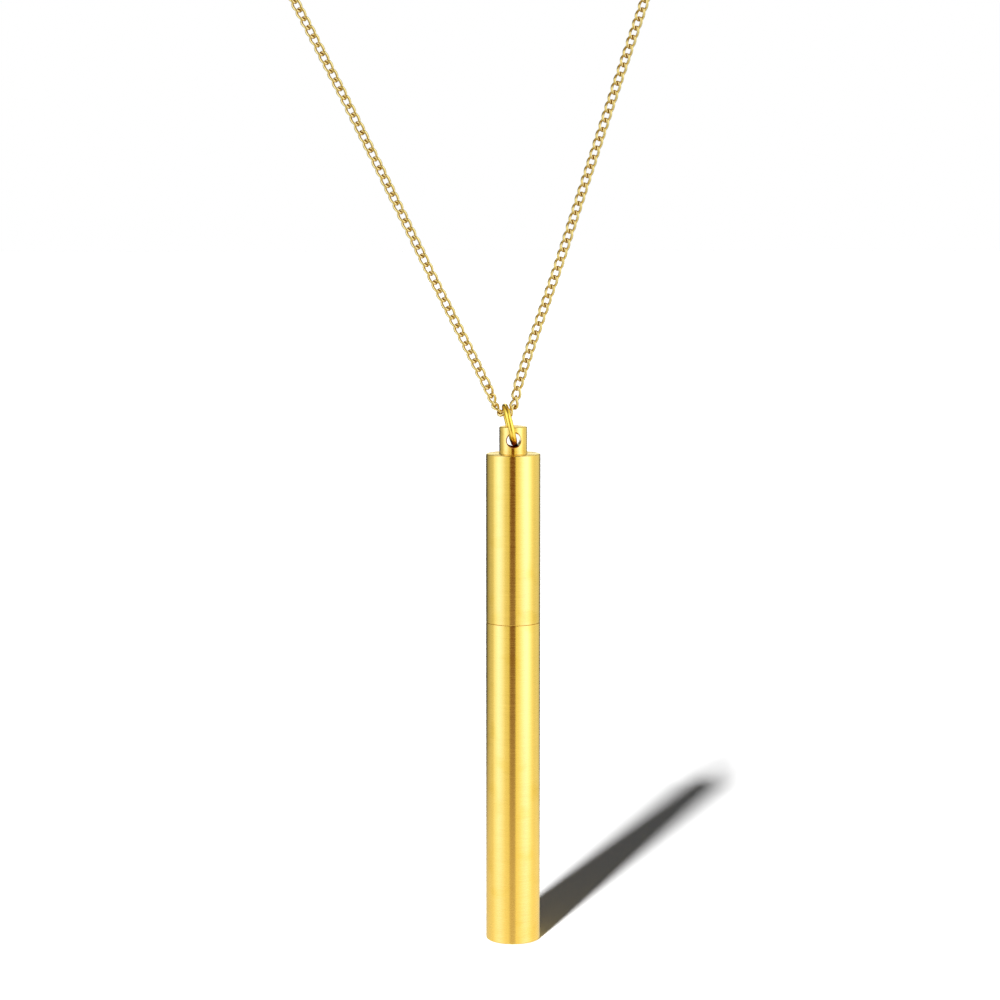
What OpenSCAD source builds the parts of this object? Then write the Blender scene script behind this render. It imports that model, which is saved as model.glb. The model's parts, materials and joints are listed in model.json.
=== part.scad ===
// Geometric pendant: a slim two-piece cylinder capsule on a fine chain.
// Millimetres. +Z is up and the front faces -Y. The origin is at the nape of the neck, in the
// middle of the clasp, where the necklace hangs. The pendant hangs a little to the right of the
// neck's middle, as worn.

/* [Capsule tube] */
// Outside diameter of both tubes
tube_d = 8; // [7.8:0.1:8.6]
// Length of the upper tube, from the seam to the shoulder
cap_len = 25; // [18:1:32]
// Length of the lower tube, from the seam to the base
lower_len = 48; // [30:1:60]
// Bevel on the shoulder's and the base's edges
edge_bevel = 0.2; // [0.1:0.05:0.4]
// Open width of the seam between the two tubes when closed
seam_gap = 0.06; // [0.02:0.02:0.12]

/* [Hollow and plug fit] */
// Wall of the lower tube round its chamber
chamber_wall = 1; // [0.9:0.05:1.1]
// Thickness of the closed base
base_t = 2; // [1:0.5:4]
// Thickness of the closed top under the shoulder
top_t = 2; // [1:0.5:4]
// Diameter of the threaded plug under the upper tube
plug_d = 6.9; // [6.6:0.05:7]
// Length of the plug
plug_len = 4; // [3:0.5:8]
// Bore of the upper tube and its plug
cap_bore_d = 5.4; // [4:0.1:5.6]
// Radial clearance between the plug and its socket
fit_gap = 0.05; // [0.02:0.01:0.1]
// Free depth of the socket below the plug's end
socket_spare = 0.4; // [0.2:0.1:1]

/* [Stud and eye] */
// Diameter of the stud on the shoulder
stud_d = 4.1; // [3.9:0.05:4.2]
// Height of the stud above the shoulder
stud_h = 4; // [3.9:0.05:4.1]
// Bevel on the stud's top edge
stud_bevel = 0.2; // [0.1:0.05:0.3]
// Diameter of the eye drilled across the stud, from front to back
eye_d = 2.1; // [2.05:0.05:2.2]
// Height of the eye's centre above the shoulder
eye_h = 2.05; // [2:0.05:2.1]
// Countersink on both mouths of the eye
eye_bevel = 0.3; // [0.3:0.05:0.4]

/* [Jump ring] */
// Wire of the jump ring
ring_wire = 0.9; // [0.85:0.05:0.9]
// Outside diameter of the jump ring
ring_od = 6.4; // [6.4:0.05:6.6]
// Lean of the jump ring's top to the left, in degrees
ring_lean = 14; // [0:1:14]
// Play between the jump ring and the floor of the eye
eye_play = 0.12; // [0.1:0.01:0.14]

/* [Chain] */
// Width of the chain's links, which is the diameter of its solid
chain_d = 1.5; // [1.2:0.1:1.5]
// Play between the chain and the jump ring
chain_play = 0.08; // [0.05:0.01:0.12]
// Lean of the hanging strands from upright, backwards, in degrees
strand_lean = 7; // [5:1:9]
// Slope of the left strand from upright, in degrees
left_slope = 25.5; // [24:0.5:28]
// Slope of the right strand from upright, in degrees
right_slope = 18; // [17:0.5:20]

/* [Clasp] */
// Diameter of the barrel
barrel_d = 3.2; // [2.6:0.2:4]
// Length of the barrel
barrel_len = 9; // [8:0.5:10]
// Bevel on the barrel's ends
barrel_bevel = 0.6; // [0.3:0.1:0.9]
// Wire of the barrel's two eyes
lug_wire = 0.6; // [0.5:0.05:0.7]
// Hole in each of the barrel's eyes
lug_hole = 1.1; // [1:0.05:1.2]

/* [Hidden] */
$fn = 96;
gold = "goldenrod";
pale_gold = "gold";
through = 1;            // how far a cut runs past the face that it cuts

tube_r = tube_d / 2;
chain_r = chain_d / 2;
ring_mid_r = (ring_od - ring_wire) / 2;
ring_in_r = ring_od / 2 - ring_wire;

// The point where the jump ring hangs on the chain: the chain's middle line, in the ring's plane
hang = [11, -100, -145];
// Down the jump ring's plane, from the chain to the stud
ring_down = [sin(ring_lean), 0, -cos(ring_lean)];
ring_drop = ring_in_r - chain_r - chain_play;
eye_drop = ring_drop + ring_od / 2 + eye_play - eye_d / 2;
ring_centre = hang + ring_drop * ring_down;
eye_centre = hang + eye_drop * ring_down;
shoulder = eye_centre - [0, 0, eye_h];
seam = shoulder - [0, 0, cap_len];

// Plug and socket, with a relief groove at the plug's root
plug_r = plug_d / 2;
plug_bevel = 0.25;
relief_w = 0.6;
relief_depth = 0.2;
socket_r = plug_r + fit_gap;
socket_depth = plug_len + socket_spare;
chamber_r = tube_r - chamber_wall;
mouth_bevel = 0.12;
seam_bevel = 0.06;

// Clasp: the eyes overlap the barrel's ends
lug_mid_r = (lug_hole + lug_wire) / 2;
lug_sink = 0.1;
lug_x = barrel_len / 2 + lug_hole / 2 + lug_wire / 2 - lug_sink;
clasp_gap = 0.1;
chain_start = lug_x + lug_mid_r + lug_wire / 2 + clasp_gap;

// The chain's bend under the jump ring: an arc in the plane of the two strands
bend_r = 1.3;
bend_steps = 8;
back_up = [0, sin(strand_lean), cos(strand_lean)];
bend_centre = hang + bend_r * (-sin(ring_lean) * [1, 0, 0] + cos(ring_lean) * back_up);
function on_bend(a) = bend_centre + bend_r * (sin(a) * [1, 0, 0] - cos(a) * back_up);
bend_right = 90 - right_slope;
bend_left = -(90 - left_slope);
lead = 4;               // straight run at each end of the bend
bend = concat(
    [on_bend(bend_right) + lead * (sin(right_slope) * [1, 0, 0] + cos(right_slope) * back_up)],
    [for (i = [0:bend_steps]) on_bend(bend_right + (bend_left - bend_right) * i / bend_steps)],
    [on_bend(bend_left) + lead * (-sin(left_slope) * [1, 0, 0] + cos(left_slope) * back_up)]
);

// The chain's route round the neck, from the clasp down to the bend and back up, by hand
right_route = [
    [chain_start, 0, 0], [14, -1, 0], [30, -7, -1], [45, -20, -4], [54, -38, -9],
    [57, -58, -16], [54, -75, -26], [47.5, -86, -40], [41, -89.4, -59], [31.7, -92.6, -85]
];
left_route = [
    [-19.5, -92.6, -85], [-33.5, -89.4, -59], [-44, -86, -40], [-53, -75, -26], [-57, -58, -16],
    [-54, -38, -9], [-45, -20, -4], [-30, -7, -1], [-14, -1, 0], [-chain_start, 0, 0]
];
route = concat(right_route, bend, left_route);
chain_sides = 8;
ring_step = 7;

function unit(v) = v / norm(v);

// Direction of travel at a route point: that of the circle through it and its two neighbours
function route_dir(p, i) =
    let (last = len(p) - 1)
    i == 0 ? unit(p[1] - p[0])
    : i == last ? unit(p[last] - p[last - 1])
    : let (a = p[i] - p[i - 1], b = p[i + 1] - p[i]) unit(a / (a * a) + b / (b * b));

// A point and its direction on the smooth curve between route points i and i + 1
function curve_point(p, i, t) =
    let (span = norm(p[i + 1] - p[i]), d0 = route_dir(p, i) * span, d1 = route_dir(p, i + 1) * span)
    (2 * t ^ 3 - 3 * t ^ 2 + 1) * p[i] + (t ^ 3 - 2 * t ^ 2 + t) * d0
    + (3 * t ^ 2 - 2 * t ^ 3) * p[i + 1] + (t ^ 3 - t ^ 2) * d1;
function curve_dir(p, i, t) =
    let (span = norm(p[i + 1] - p[i]), d0 = route_dir(p, i) * span, d1 = route_dir(p, i + 1) * span)
    unit((6 * t ^ 2 - 6 * t) * (p[i] - p[i + 1]) + (3 * t ^ 2 - 4 * t + 1) * d0 + (3 * t ^ 2 - 2 * t) * d1);

// Where the swept solid's rings go: the route point before each, and how far past it
function ring_places(p) = concat(
    [for (i = [0:len(p) - 2])
        let (n = max(1, round(norm(p[i + 1] - p[i]) / ring_step))) for (k = [0:n - 1]) [i, k / n]],
    [[len(p) - 2, 1]]
);

// A sideways direction at each ring that doesn't twist from one ring to the next
function sideways(dirs) = [
    for (i = 0, s = unit(cross(dirs[0], [0, 0, 1])); i < len(dirs);
         i = i + 1, s = unit(s - (s * dirs[min(i, len(dirs) - 1)]) * dirs[min(i, len(dirs) - 1)])) s
];

// A round solid of radius r swept along a route, as one closed mesh
module swept_chain(p, r, sides) {
    places = ring_places(p);
    dirs = [for (q = places) curve_dir(p, q[0], q[1])];
    side = sideways(dirs);
    rings = len(places);
    points = [
        for (j = [0:rings - 1]) let (c = curve_point(p, places[j][0], places[j][1]), up = cross(dirs[j], side[j]))
            for (k = [0:sides - 1]) c + r * (cos(360 * k / sides) * side[j] + sin(360 * k / sides) * up)
    ];
    walls = [
        for (j = [0:rings - 2]) for (k = [0:sides - 1])
            let (a = j * sides + k, b = j * sides + (k + 1) % sides)
                each [[a, a + sides, b + sides], [a, b + sides, b]]
    ];
    ends = [
        [for (k = [0:sides - 1]) k],
        [for (k = [sides - 1:-1:0]) (rings - 1) * sides + k]
    ];
    polyhedron(points, concat(walls, ends), convexity = 10);
}

// Upper tube with its stud, eye and threaded plug, soldered into one piece
module cap() {
    stud_r = stud_d / 2;
    color(gold) difference() {
        union() {
            translate(shoulder) rotate_extrude() polygon([
                [0, 0], [tube_r - edge_bevel, 0], [tube_r, -edge_bevel],
                [tube_r, -cap_len + seam_bevel], [tube_r - seam_bevel, -cap_len],
                [plug_r - relief_depth, -cap_len], [plug_r - relief_depth, -cap_len - relief_w],
                [plug_r, -cap_len - relief_w], [plug_r, -cap_len - plug_len + plug_bevel],
                [plug_r - plug_bevel, -cap_len - plug_len],
                [cap_bore_d / 2, -cap_len - plug_len], [cap_bore_d / 2, -top_t], [0, -top_t]
            ]);
            translate(shoulder - [0, 0, top_t / 2]) rotate_extrude() polygon([
                [0, 0], [stud_r, 0], [stud_r, top_t / 2 + stud_h - stud_bevel],
                [stud_r - stud_bevel, top_t / 2 + stud_h], [0, top_t / 2 + stud_h]
            ]);
        }
        translate(eye_centre) eye_cut(stud_r);
    }
}

// The cutter for the stud's eye: a cylinder from front to back with a countersink at each mouth
module eye_cut(stud_r) {
    sink = eye_bevel + through;
    rotate([90, 0, 0]) cylinder(d = eye_d, h = stud_d + 2 * through, center = true);
    for (side = [0, 180]) rotate([90, 0, side])
        translate([0, 0, stud_r - eye_bevel]) cylinder(r1 = eye_d / 2, r2 = eye_d / 2 + sink, h = sink);
}

// Lower tube: chamber, socket for the plug and closed base
module lower_tube() {
    base_z = -lower_len;
    top_z = -seam_gap;
    color(gold) translate(seam) rotate_extrude() polygon([
        [0, base_z], [tube_r - edge_bevel, base_z], [tube_r, base_z + edge_bevel],
        [tube_r, top_z - seam_bevel], [tube_r - seam_bevel, top_z],
        [socket_r + mouth_bevel, top_z], [socket_r, top_z - mouth_bevel],
        [socket_r, -socket_depth], [chamber_r, -socket_depth],
        [chamber_r, base_z + base_t], [0, base_z + base_t]
    ]);
}

// Jump ring, closed, joining the stud's eye to the chain
module jump_ring() {
    color(pale_gold) translate(ring_centre) rotate([0, 90 - ring_lean, 0])
        rotate_extrude() translate([ring_mid_r, 0]) circle(d = ring_wire);
}

// The chain's outer form: one closed solid that stands for its links
module chain() {
    color(pale_gold) swept_chain(route, chain_r, chain_sides);
}

// Closed barrel clasp at the nape, with an eye at each end for the chain's last links
module clasp() {
    barrel_r = barrel_d / 2;
    half = barrel_len / 2;
    color(gold) union() {
        rotate([0, 90, 0]) rotate_extrude() polygon([
            [0, -half], [barrel_r - barrel_bevel, -half], [barrel_r, -half + barrel_bevel],
            [barrel_r, half - barrel_bevel], [barrel_r - barrel_bevel, half], [0, half]
        ]);
        for (side = [-1, 1]) translate([side * lug_x, 0, 0]) rotate([90, 0, 0])
            rotate_extrude() translate([lug_mid_r, 0]) circle(d = lug_wire);
    }
}

cap();
lower_tube();
jump_ring();
chain();
clasp();
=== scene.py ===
"""Looks of a slim two-piece capsule pendant on a fine curb chain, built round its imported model.

Everything is in metres in the model's own frame: +Z is up, the front faces -Y and the origin is
at the nape of the neck. Each class below makes one sub-assembly and dresses it in its finish.
"""

from __future__ import annotations

import json
import logging
import math
from dataclasses import dataclass
from enum import Enum
from functools import partial
from typing import Any, Callable, Sequence

import bmesh
import bpy
from bmesh.types import BMesh, BMVert
from bpy.types import ID, Material, Modifier, NodeSocket, NodeTree, Object
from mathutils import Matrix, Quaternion, Vector

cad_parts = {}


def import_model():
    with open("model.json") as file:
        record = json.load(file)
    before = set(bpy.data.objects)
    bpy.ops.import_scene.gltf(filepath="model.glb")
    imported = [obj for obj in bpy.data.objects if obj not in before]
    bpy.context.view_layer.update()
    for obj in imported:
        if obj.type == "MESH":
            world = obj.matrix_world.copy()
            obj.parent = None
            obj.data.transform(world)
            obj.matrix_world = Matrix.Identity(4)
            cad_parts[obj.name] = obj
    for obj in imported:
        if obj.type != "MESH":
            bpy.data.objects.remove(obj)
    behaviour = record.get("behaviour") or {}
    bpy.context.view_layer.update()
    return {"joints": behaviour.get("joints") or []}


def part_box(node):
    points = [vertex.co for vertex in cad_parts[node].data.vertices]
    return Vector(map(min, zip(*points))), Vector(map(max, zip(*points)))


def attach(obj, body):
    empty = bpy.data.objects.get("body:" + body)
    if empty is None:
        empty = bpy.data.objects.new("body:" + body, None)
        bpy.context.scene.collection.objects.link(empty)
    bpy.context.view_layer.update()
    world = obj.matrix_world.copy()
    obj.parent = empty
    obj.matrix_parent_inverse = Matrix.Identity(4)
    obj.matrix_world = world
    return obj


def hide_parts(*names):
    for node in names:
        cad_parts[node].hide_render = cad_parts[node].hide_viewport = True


log = logging.getLogger("pendant")

MM = 0.001
WELD = 2e-7  # points closer than this are one point
SHARP_ANGLE = math.radians(38)  # edges bent further than this stay sharp
SMALL_FILLET = 0.05 * MM
HAIRLINE = 0.015 * MM  # gap between the two tubes
FLOOR_GAP = 0.02 * MM  # gap between the base and the floor
NOISE_RANGE = (0.3, 0.7)  # nearly all values of a noise texture lie between these

Pair = tuple[float, float]
Triple = tuple[float, float, float]
Outline = list[Pair]
Points = tuple[Triple, ...]
Loop = list[BMVert]
Adder = Callable[..., Any]


class Axis(Enum):
    """The direction of the line that a turned piece is round about."""

    UPRIGHT = "Z"
    SIDEWAYS = "X"


@dataclass(frozen=True)
class Spindle:
    """The line that a turned piece is round about, as on a lathe."""

    origin: Vector  # a point on the line
    axis: Axis = Axis.UPRIGHT

    def point(self, radius: float, angle: float, along: float) -> Vector:
        """Gives the place of a point on a turned piece.

        Args:
            radius: Distance from the line.
            angle: Angle round the line, in radians.
            along: Distance along the line from its origin.

        Returns:
            The point in the model's frame.
        """
        across, over = radius * math.cos(angle), radius * math.sin(angle)
        if self.axis is Axis.UPRIGHT:
            return self.origin + Vector((across, over, along))
        return self.origin + Vector((along, across, over))


def linear(colour: str) -> tuple[float, float, float, float]:
    """Turns an sRGB hex colour into linear light.

    Args:
        colour: The colour as #rrggbb.

    Returns:
        Linear red, green, blue and an alpha of 1.
    """
    shares = [int(colour[i : i + 2], 16) / 255 for i in (1, 3, 5)]
    red, green, blue = (s / 12.92 if s <= 0.04045 else ((s + 0.055) / 1.055) ** 2.4 for s in shares)
    return red, green, blue, 1.0


def add_node(
    tree: NodeTree,
    kind: str,
    *inputs: Any,
    at: dict[str | int, Any] | None = None,
    **settings: Any,
) -> Any:
    """Adds a node with its settings and links.

    Args:
        tree: The node tree that the node goes into.
        kind: The node's type, without its prefix if that is ShaderNode, and after a point its
            operation, if it has one.
        inputs: A value, or another node's output, for each of the node's first inputs in turn.
        at: The same for its other inputs, by name or number.
        settings: The node's own properties.

    Returns:
        The new node's outputs.
    """
    kind, _, operation = kind.partition(".")
    node = tree.nodes.new(kind if "Node" in kind else f"ShaderNode{kind}")
    if operation:
        node.operation = operation
    for name, value in settings.items():
        setattr(node, name, value)
    for key, value in [*enumerate(inputs), *(at or {}).items()]:
        if isinstance(value, NodeSocket):
            tree.links.new(value, node.inputs[key])
        else:
            node.inputs[key].default_value = value
    return node.outputs


def emptied(owner: Any) -> Adder:
    """Empties the node tree of a material or world.

    Args:
        owner: The material or world.

    Returns:
        The function that adds a node to its tree.
    """
    owner.use_nodes = True
    owner.node_tree.nodes.clear()
    return partial(add_node, owner.node_tree)


@dataclass(frozen=True)
class BrushedGoldPlate:
    """Gold plate over steel that was brushed round the piece on a lathe.

    The grooves run round the piece, so a light is drawn out along its axis and stays crisp across
    it. Each groove catches the light a little differently, which frays the edges of dark bands
    into fine level lines.
    """

    name: str
    spindle: Spindle  # the line that the piece was brushed round
    colour: str = "#ffda7c"
    deep_colour: str = "#f7cf63"  # where the plate is thicker
    roughness: float = 0.27
    roughness_play: float = 0.05  # how far single grooves are smoother or rougher
    spread: float = 1.0  # how much further light spreads along the axis than round it
    groove_pitch: float = 0.16 * MM  # real ones, of about 0.03 mm, are finer than the photograph shows
    groove_length: float = 3.2 * MM  # of one groove round the piece
    groove_depth: float = 0.0016 * MM
    groove_shade: float = 0.86  # painted shade: brightness of the plate in the deepest grooves
    patch_size: float = 4.0 * MM
    patch_range: Pair = (0.55, 0.75)  # the patches' noise where deep_colour starts and is full
    patch_share: float = 0.8  # how much of deep_colour a patch has
    eye: float | None = None  # height of the drilled eye above the spindle's origin, if there is one
    eye_radius: float = 1.05 * MM
    rim_centre: Pair = (-0.06 * MM, 0.03 * MM)  # the eye's polished rim, which the painted shade reaches over, is wider to the left
    rim_width: Pair = (0.065 * MM, 0.095 * MM)  # to the start and to the end of its edge
    residue_centre: Pair = (0.12 * MM, 0.16 * MM)  # middle of the eye's unshaded part, from the eye's middle, to the right and up
    residue_radius: float = 1.08 * MM  # outside this, the eye's lower side is painted in shade
    residue_edge: float = 0.03 * MM  # how far that edge fades to each side
    # painted shade for the lower side of the eye
    residue_colour: str = "#521d04"
    bore_roughness: float = 0.08

    def material(self) -> Material:
        """Builds the material.

        Returns:
            The brushed gold material.
        """
        material = bpy.data.materials.new(self.name)
        node = emptied(material)
        place = node("TexCoord")["Object"]
        middle = node("VectorMath.SUBTRACT", place, self.spindle.origin)[0]
        parts = node("SeparateXYZ", middle)
        along = parts[self.spindle.axis.value]
        flat = Vector((1, 1, 0)) if self.spindle.axis is Axis.UPRIGHT else Vector((0, 1, 1))
        across = node("VectorMath.MULTIPLY", middle, flat)[0]
        radius = node("VectorMath.LENGTH", across)["Value"]
        level = node("Math.ADD", along, radius)[0]
        groove = node("Math.MULTIPLY", level, 1 / self.groove_pitch)[0]
        scale = {"Scale": 1 / self.groove_length}
        round_about = node("VectorMath.SCALE", across, at=scale)[0]
        grain = {"Scale": 1.0, "Detail": 3.0, "Roughness": 0.6}
        grooves = node("TexNoise", round_about, groove, at=grain, noise_dimensions="4D")["Fac"]
        patches = node("TexNoise", middle, at={"Scale": 1 / self.patch_size})["Fac"]
        deep = node("MapRange", patches, *self.patch_range, 0.0, self.patch_share)[0]
        tones = {6: linear(self.colour), 7: linear(self.deep_colour)}
        tone = node("Mix", deep, at=tones, data_type="RGBA")[2]
        # painted shade, darker in the deepest grooves
        shade = node("MapRange", grooves, *NOISE_RANGE, self.groove_shade, 1.0)[0]
        colour = node("VectorMath.SCALE", tone, at={"Scale": shade})[0]
        smooth, coarse = self.roughness - self.roughness_play, self.roughness + self.roughness_play
        rough = node("MapRange", grooves, *NOISE_RANGE, smooth, coarse)[0]
        metal: Any = 1.0
        gloss: Any = 0.5
        if self.eye is not None:
            colour, metal, gloss, rough = self.in_eye(node, parts, colour, rough)
        bump = {"Height": grooves, "Distance": self.groove_depth}
        surface = {
            "Base Color": colour,
            "Metallic": metal,
            "Roughness": rough,
            "Specular IOR Level": gloss,
            "Anisotropic": self.spread,
            "Anisotropic Rotation": 0.25,
            "Tangent": node("Tangent", direction_type="RADIAL", axis=self.spindle.axis.value)[0],
            "Normal": node("Bump", at=bump)[0],
        }
        node("OutputMaterial", node("BsdfPrincipled", at=surface)[0])
        return material

    def in_eye(self, node: Adder, parts: Any, colour: Any, rough: Any) -> tuple[Any, Any, Any, Any]:
        """Paints dull dark shade into the lower side of the drilled eye, whose bore is bright.

        Args:
            node: The function that adds to the material's nodes.
            parts: The place from the spindle's origin, as three outputs.
            colour: The plate's colour elsewhere.
            rough: The plate's roughness elsewhere.

        Returns:
            The colour with the painted shade, how far the surface is bare metal, its gloss where it isn't,
            and its roughness.
        """
        over = node("Math.SUBTRACT", parts[2], self.eye)[0]
        spoke = node("CombineXYZ", parts[0], over)[0]
        away, off_shade_free = (
            node("VectorMath.DISTANCE", spoke, Vector((*centre, 0)))["Value"]
            for centre in (self.rim_centre, self.residue_centre)
        )
        rim = [self.eye_radius + width for width in self.rim_width]
        inside = node("MapRange", away, *rim, 1.0, 0.0)[0]
        shade_free_span = [self.residue_radius + side * self.residue_edge for side in (-1, 1)]
        low = node("MapRange", off_shade_free, *shade_free_span)[0]
        share = node("Math.MULTIPLY", inside, low)[0]
        tones = {6: colour, 7: linear(self.residue_colour)}
        tone = node("Mix", share, at=tones, data_type="RGBA")[2]
        bare = node("Math.SUBTRACT", 1.0, share)[0]
        gloss = node("Math.MULTIPLY", 0.5, bare)[0]
        bored = node("Mix", inside, at={2: rough, 3: self.bore_roughness})[0]
        return tone, bare, gloss, bored


@dataclass(frozen=True)
class PolishedGoldPlate:
    """Gold plate over drawn steel wire, barrel polished.

    Tumbling leaves the wire bright, with soft shallow dents and a slightly warmer plate where it
    is thicker, so each link or ring has small crisp highlights that waver along the wire.
    """

    name: str
    colour: str
    deep_colour: str  # where the plate is thicker
    residue_colour: str = ""  # of the painted shade where links cross, if there is any
    roughness: float = 0.25
    roughness_play: float = 0.04  # how far dents are smoother or rougher
    dent_size: float = 0.35 * MM  # width of the dents that tumbling leaves
    dent_depth: float = 0.003 * MM

    def material(self) -> Material:
        """Builds the material.

        Returns:
            The polished gold material.
        """
        material = bpy.data.materials.new(self.name)
        node = emptied(material)
        place = node("TexCoord")["Object"]
        dents = node("TexNoise", place, at={"Scale": 1 / self.dent_size})["Fac"]
        tones = {6: linear(self.colour), 7: linear(self.deep_colour)}
        tone = node("Mix", dents, at=tones, data_type="RGBA")[2]
        # darkens the links' ends with painted shade where they cross
        if self.residue_colour:
            crossing_shade = node("Attribute", attribute_name="crossing_shade")["Fac"]
            tones = {6: tone, 7: linear(self.residue_colour)}
            tone = node("Mix", crossing_shade, at=tones, data_type="RGBA")[2]
        smooth, coarse = self.roughness - self.roughness_play, self.roughness + self.roughness_play
        surface = {
            "Base Color": tone,
            "Metallic": 1.0,
            "Roughness": node("MapRange", dents, *NOISE_RANGE, smooth, coarse)[0],
            "Normal": node("Bump", at={"Height": dents, "Distance": self.dent_depth})[0],
        }
        node("OutputMaterial", node("BsdfPrincipled", at=surface)[0])
        return material


def rounded(corners: Sequence[Triple], steps: int = 5) -> Outline:
    """Rounds the corners of an outline with arcs.

    Args:
        corners: Distance from the axis, distance along it and rounding radius of each corner.
        steps: Points along each arc.

    Returns:
        The outline's points.
    """
    outline: Outline = []
    last = len(corners) - 1
    for i, (radius, along, rounding) in enumerate(corners):
        if rounding == 0 or i in (0, last):
            outline.append((radius, along))
            continue
        here = Vector((radius, along))
        before = (Vector(corners[i - 1][:2]) - here).normalized()
        after = (Vector(corners[i + 1][:2]) - here).normalized()
        half = before.angle(after) / 2
        middle = here + (before + after).normalized() * rounding / math.sin(half)
        start = here + before * rounding / math.tan(half) - middle
        end = here + after * rounding / math.tan(half) - middle
        for k in range(steps + 1):
            point = middle + start.lerp(end, k / steps).normalized() * rounding
            outline.append((point.x, point.y))
    return outline


def bridge(shape: BMesh, loops: Sequence[Loop]) -> None:
    """Joins each loop of points to the next one with faces.

    Args:
        shape: The mesh in the making.
        loops: Closed loops of points, or single points for poles.
    """
    for first, second in zip(loops, loops[1:]):
        for k in range(max(len(first), len(second))):
            corners = (
                first[k % len(first)],
                second[k % len(second)],
                second[(k + 1) % len(second)],
                first[(k + 1) % len(first)],
            )
            shape.faces.new(list(dict.fromkeys(corners)))


def turn(shape: BMesh, outline: Outline, spindle: Spindle, segments: int) -> None:
    """Turns an outline round an axis and adds the surface to a mesh.

    Args:
        shape: The mesh in the making.
        outline: Distance from the axis and distance along it of each point.
        spindle: The axis.
        segments: Faces round the axis.
    """
    loops = []
    for radius, along in outline:
        count = segments if radius > WELD else 1
        angles = [math.tau * k / segments for k in range(count)]
        loops.append([shape.verts.new(spindle.point(radius, a, along)) for a in angles])
    bridge(shape, loops)


def bent_wire(
    shape: BMesh,
    middle: Vector,
    axes: tuple[Vector, Vector, Vector],
    radii: Pair,
    angles: Sequence[float],
    sides: int,
    start: float = 0.0,
) -> list[Loop]:
    """Adds the loops of points round a wire that is bent round a middle.

    Args:
        shape: The mesh in the making.
        middle: The middle of the bend.
        axes: The directions from there to angle zero and to a quarter turn, and across the bend.
        radii: Radius of the bend, to the middle of the wire, and of the wire.
        angles: Angle round the bend of each loop.
        sides: Points in each loop.
        start: Where each loop starts, as a share of a side past the outermost point.

    Returns:
        The loops.
    """
    loops = []
    for angle in angles:
        outward = axes[0] * math.cos(angle) + axes[1] * math.sin(angle)
        loop = []
        for j in range(sides):
            turned = math.tau * (j + start) / sides
            spoke = outward * math.cos(turned) + axes[2] * math.sin(turned)
            loop.append(shape.verts.new(middle + outward * radii[0] + spoke * radii[1]))
        loops.append(loop)
    return loops


def finished(shape: BMesh, name: str) -> Object:
    """Welds a mesh, turns its faces outwards and makes it an object.

    Args:
        shape: The mesh in the making, which is freed.
        name: The piece's name.

    Returns:
        The object, smooth but for its sharp edges.
    """
    bmesh.ops.remove_doubles(shape, verts=shape.verts, dist=WELD)
    bmesh.ops.recalc_face_normals(shape, faces=shape.faces)
    for face in shape.faces:
        face.smooth = True
    for edge in shape.edges:
        edge.smooth = edge.calc_face_angle(0.0) < SHARP_ANGLE
    mesh = bpy.data.meshes.new(name)
    shape.to_mesh(mesh)
    shape.free()
    return placed(name, mesh)


def placed(name: str, data: ID) -> Object:
    """Puts a new object into the scene.

    Args:
        name: The object's name.
        data: Its mesh, light or camera.

    Returns:
        The object, at the origin.
    """
    thing = bpy.data.objects.new(name, data)
    bpy.context.scene.collection.objects.link(thing)
    return thing


def node_group(name: str, values: dict[str, Any]) -> tuple[NodeTree, Adder, Any]:
    """Starts a Geometry Nodes tree with named inputs.

    Args:
        name: The tree's name.
        values: The value of each input after the geometry, whose type gives the socket's type.

    Returns:
        The tree, the function that adds to its nodes, and its inputs by name.
    """
    tree = bpy.data.node_groups.new(name, "GeometryNodeTree")
    tree.interface.new_socket("Geometry", in_out="INPUT", socket_type="NodeSocketGeometry")
    for label, value in values.items():
        kind = type(value).__name__.capitalize()
        tree.interface.new_socket(label, in_out="INPUT", socket_type=f"NodeSocket{kind}")
    tree.interface.new_socket("Geometry", in_out="OUTPUT", socket_type="NodeSocketGeometry")
    return tree, partial(add_node, tree), add_node(tree, "NodeGroupInput")


def grown(piece: Object, tree: NodeTree, values: dict[str, Any]) -> None:
    """Runs a Geometry Nodes tree on an object and keeps the result as its plain mesh.

    Args:
        piece: The object.
        tree: The node tree.
        values: The value of each named input.
    """
    modifier = piece.modifiers.new(tree.name, "NODES")
    modifier.node_group = tree
    for item in tree.interface.items_tree:
        if item.in_out == "INPUT" and item.name in values:
            modifier[item.identifier] = values[item.name]
    applied(piece, modifier)


def applied(piece: Object, modifier: Modifier) -> None:
    """Keeps what a modifier makes as the object's plain mesh.

    Args:
        piece: The object.
        modifier: The modifier, which is removed.
    """
    depsgraph = bpy.context.evaluated_depsgraph_get()
    depsgraph.update()
    mesh = bpy.data.meshes.new_from_object(
        piece.evaluated_get(depsgraph), preserve_all_data_layers=True, depsgraph=depsgraph
    )
    piece.modifiers.remove(modifier)
    piece.data = mesh


def dress(piece: Object, material: Material) -> None:
    """Gives a piece its one material."""
    piece.data.materials.clear()
    piece.data.materials.append(material)


def seat(piece: Object, body: str, node: str) -> None:
    """Makes a piece ride on its body in place of its node, and reports it.

    Args:
        piece: The finished piece.
        body: The body that it moves with.
        node: The node that it stands for.
    """
    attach(piece, body)
    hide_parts(node)
    log.info("%s rides on %s for %s: %d faces", piece.name, body, node, len(piece.data.polygons))


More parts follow.
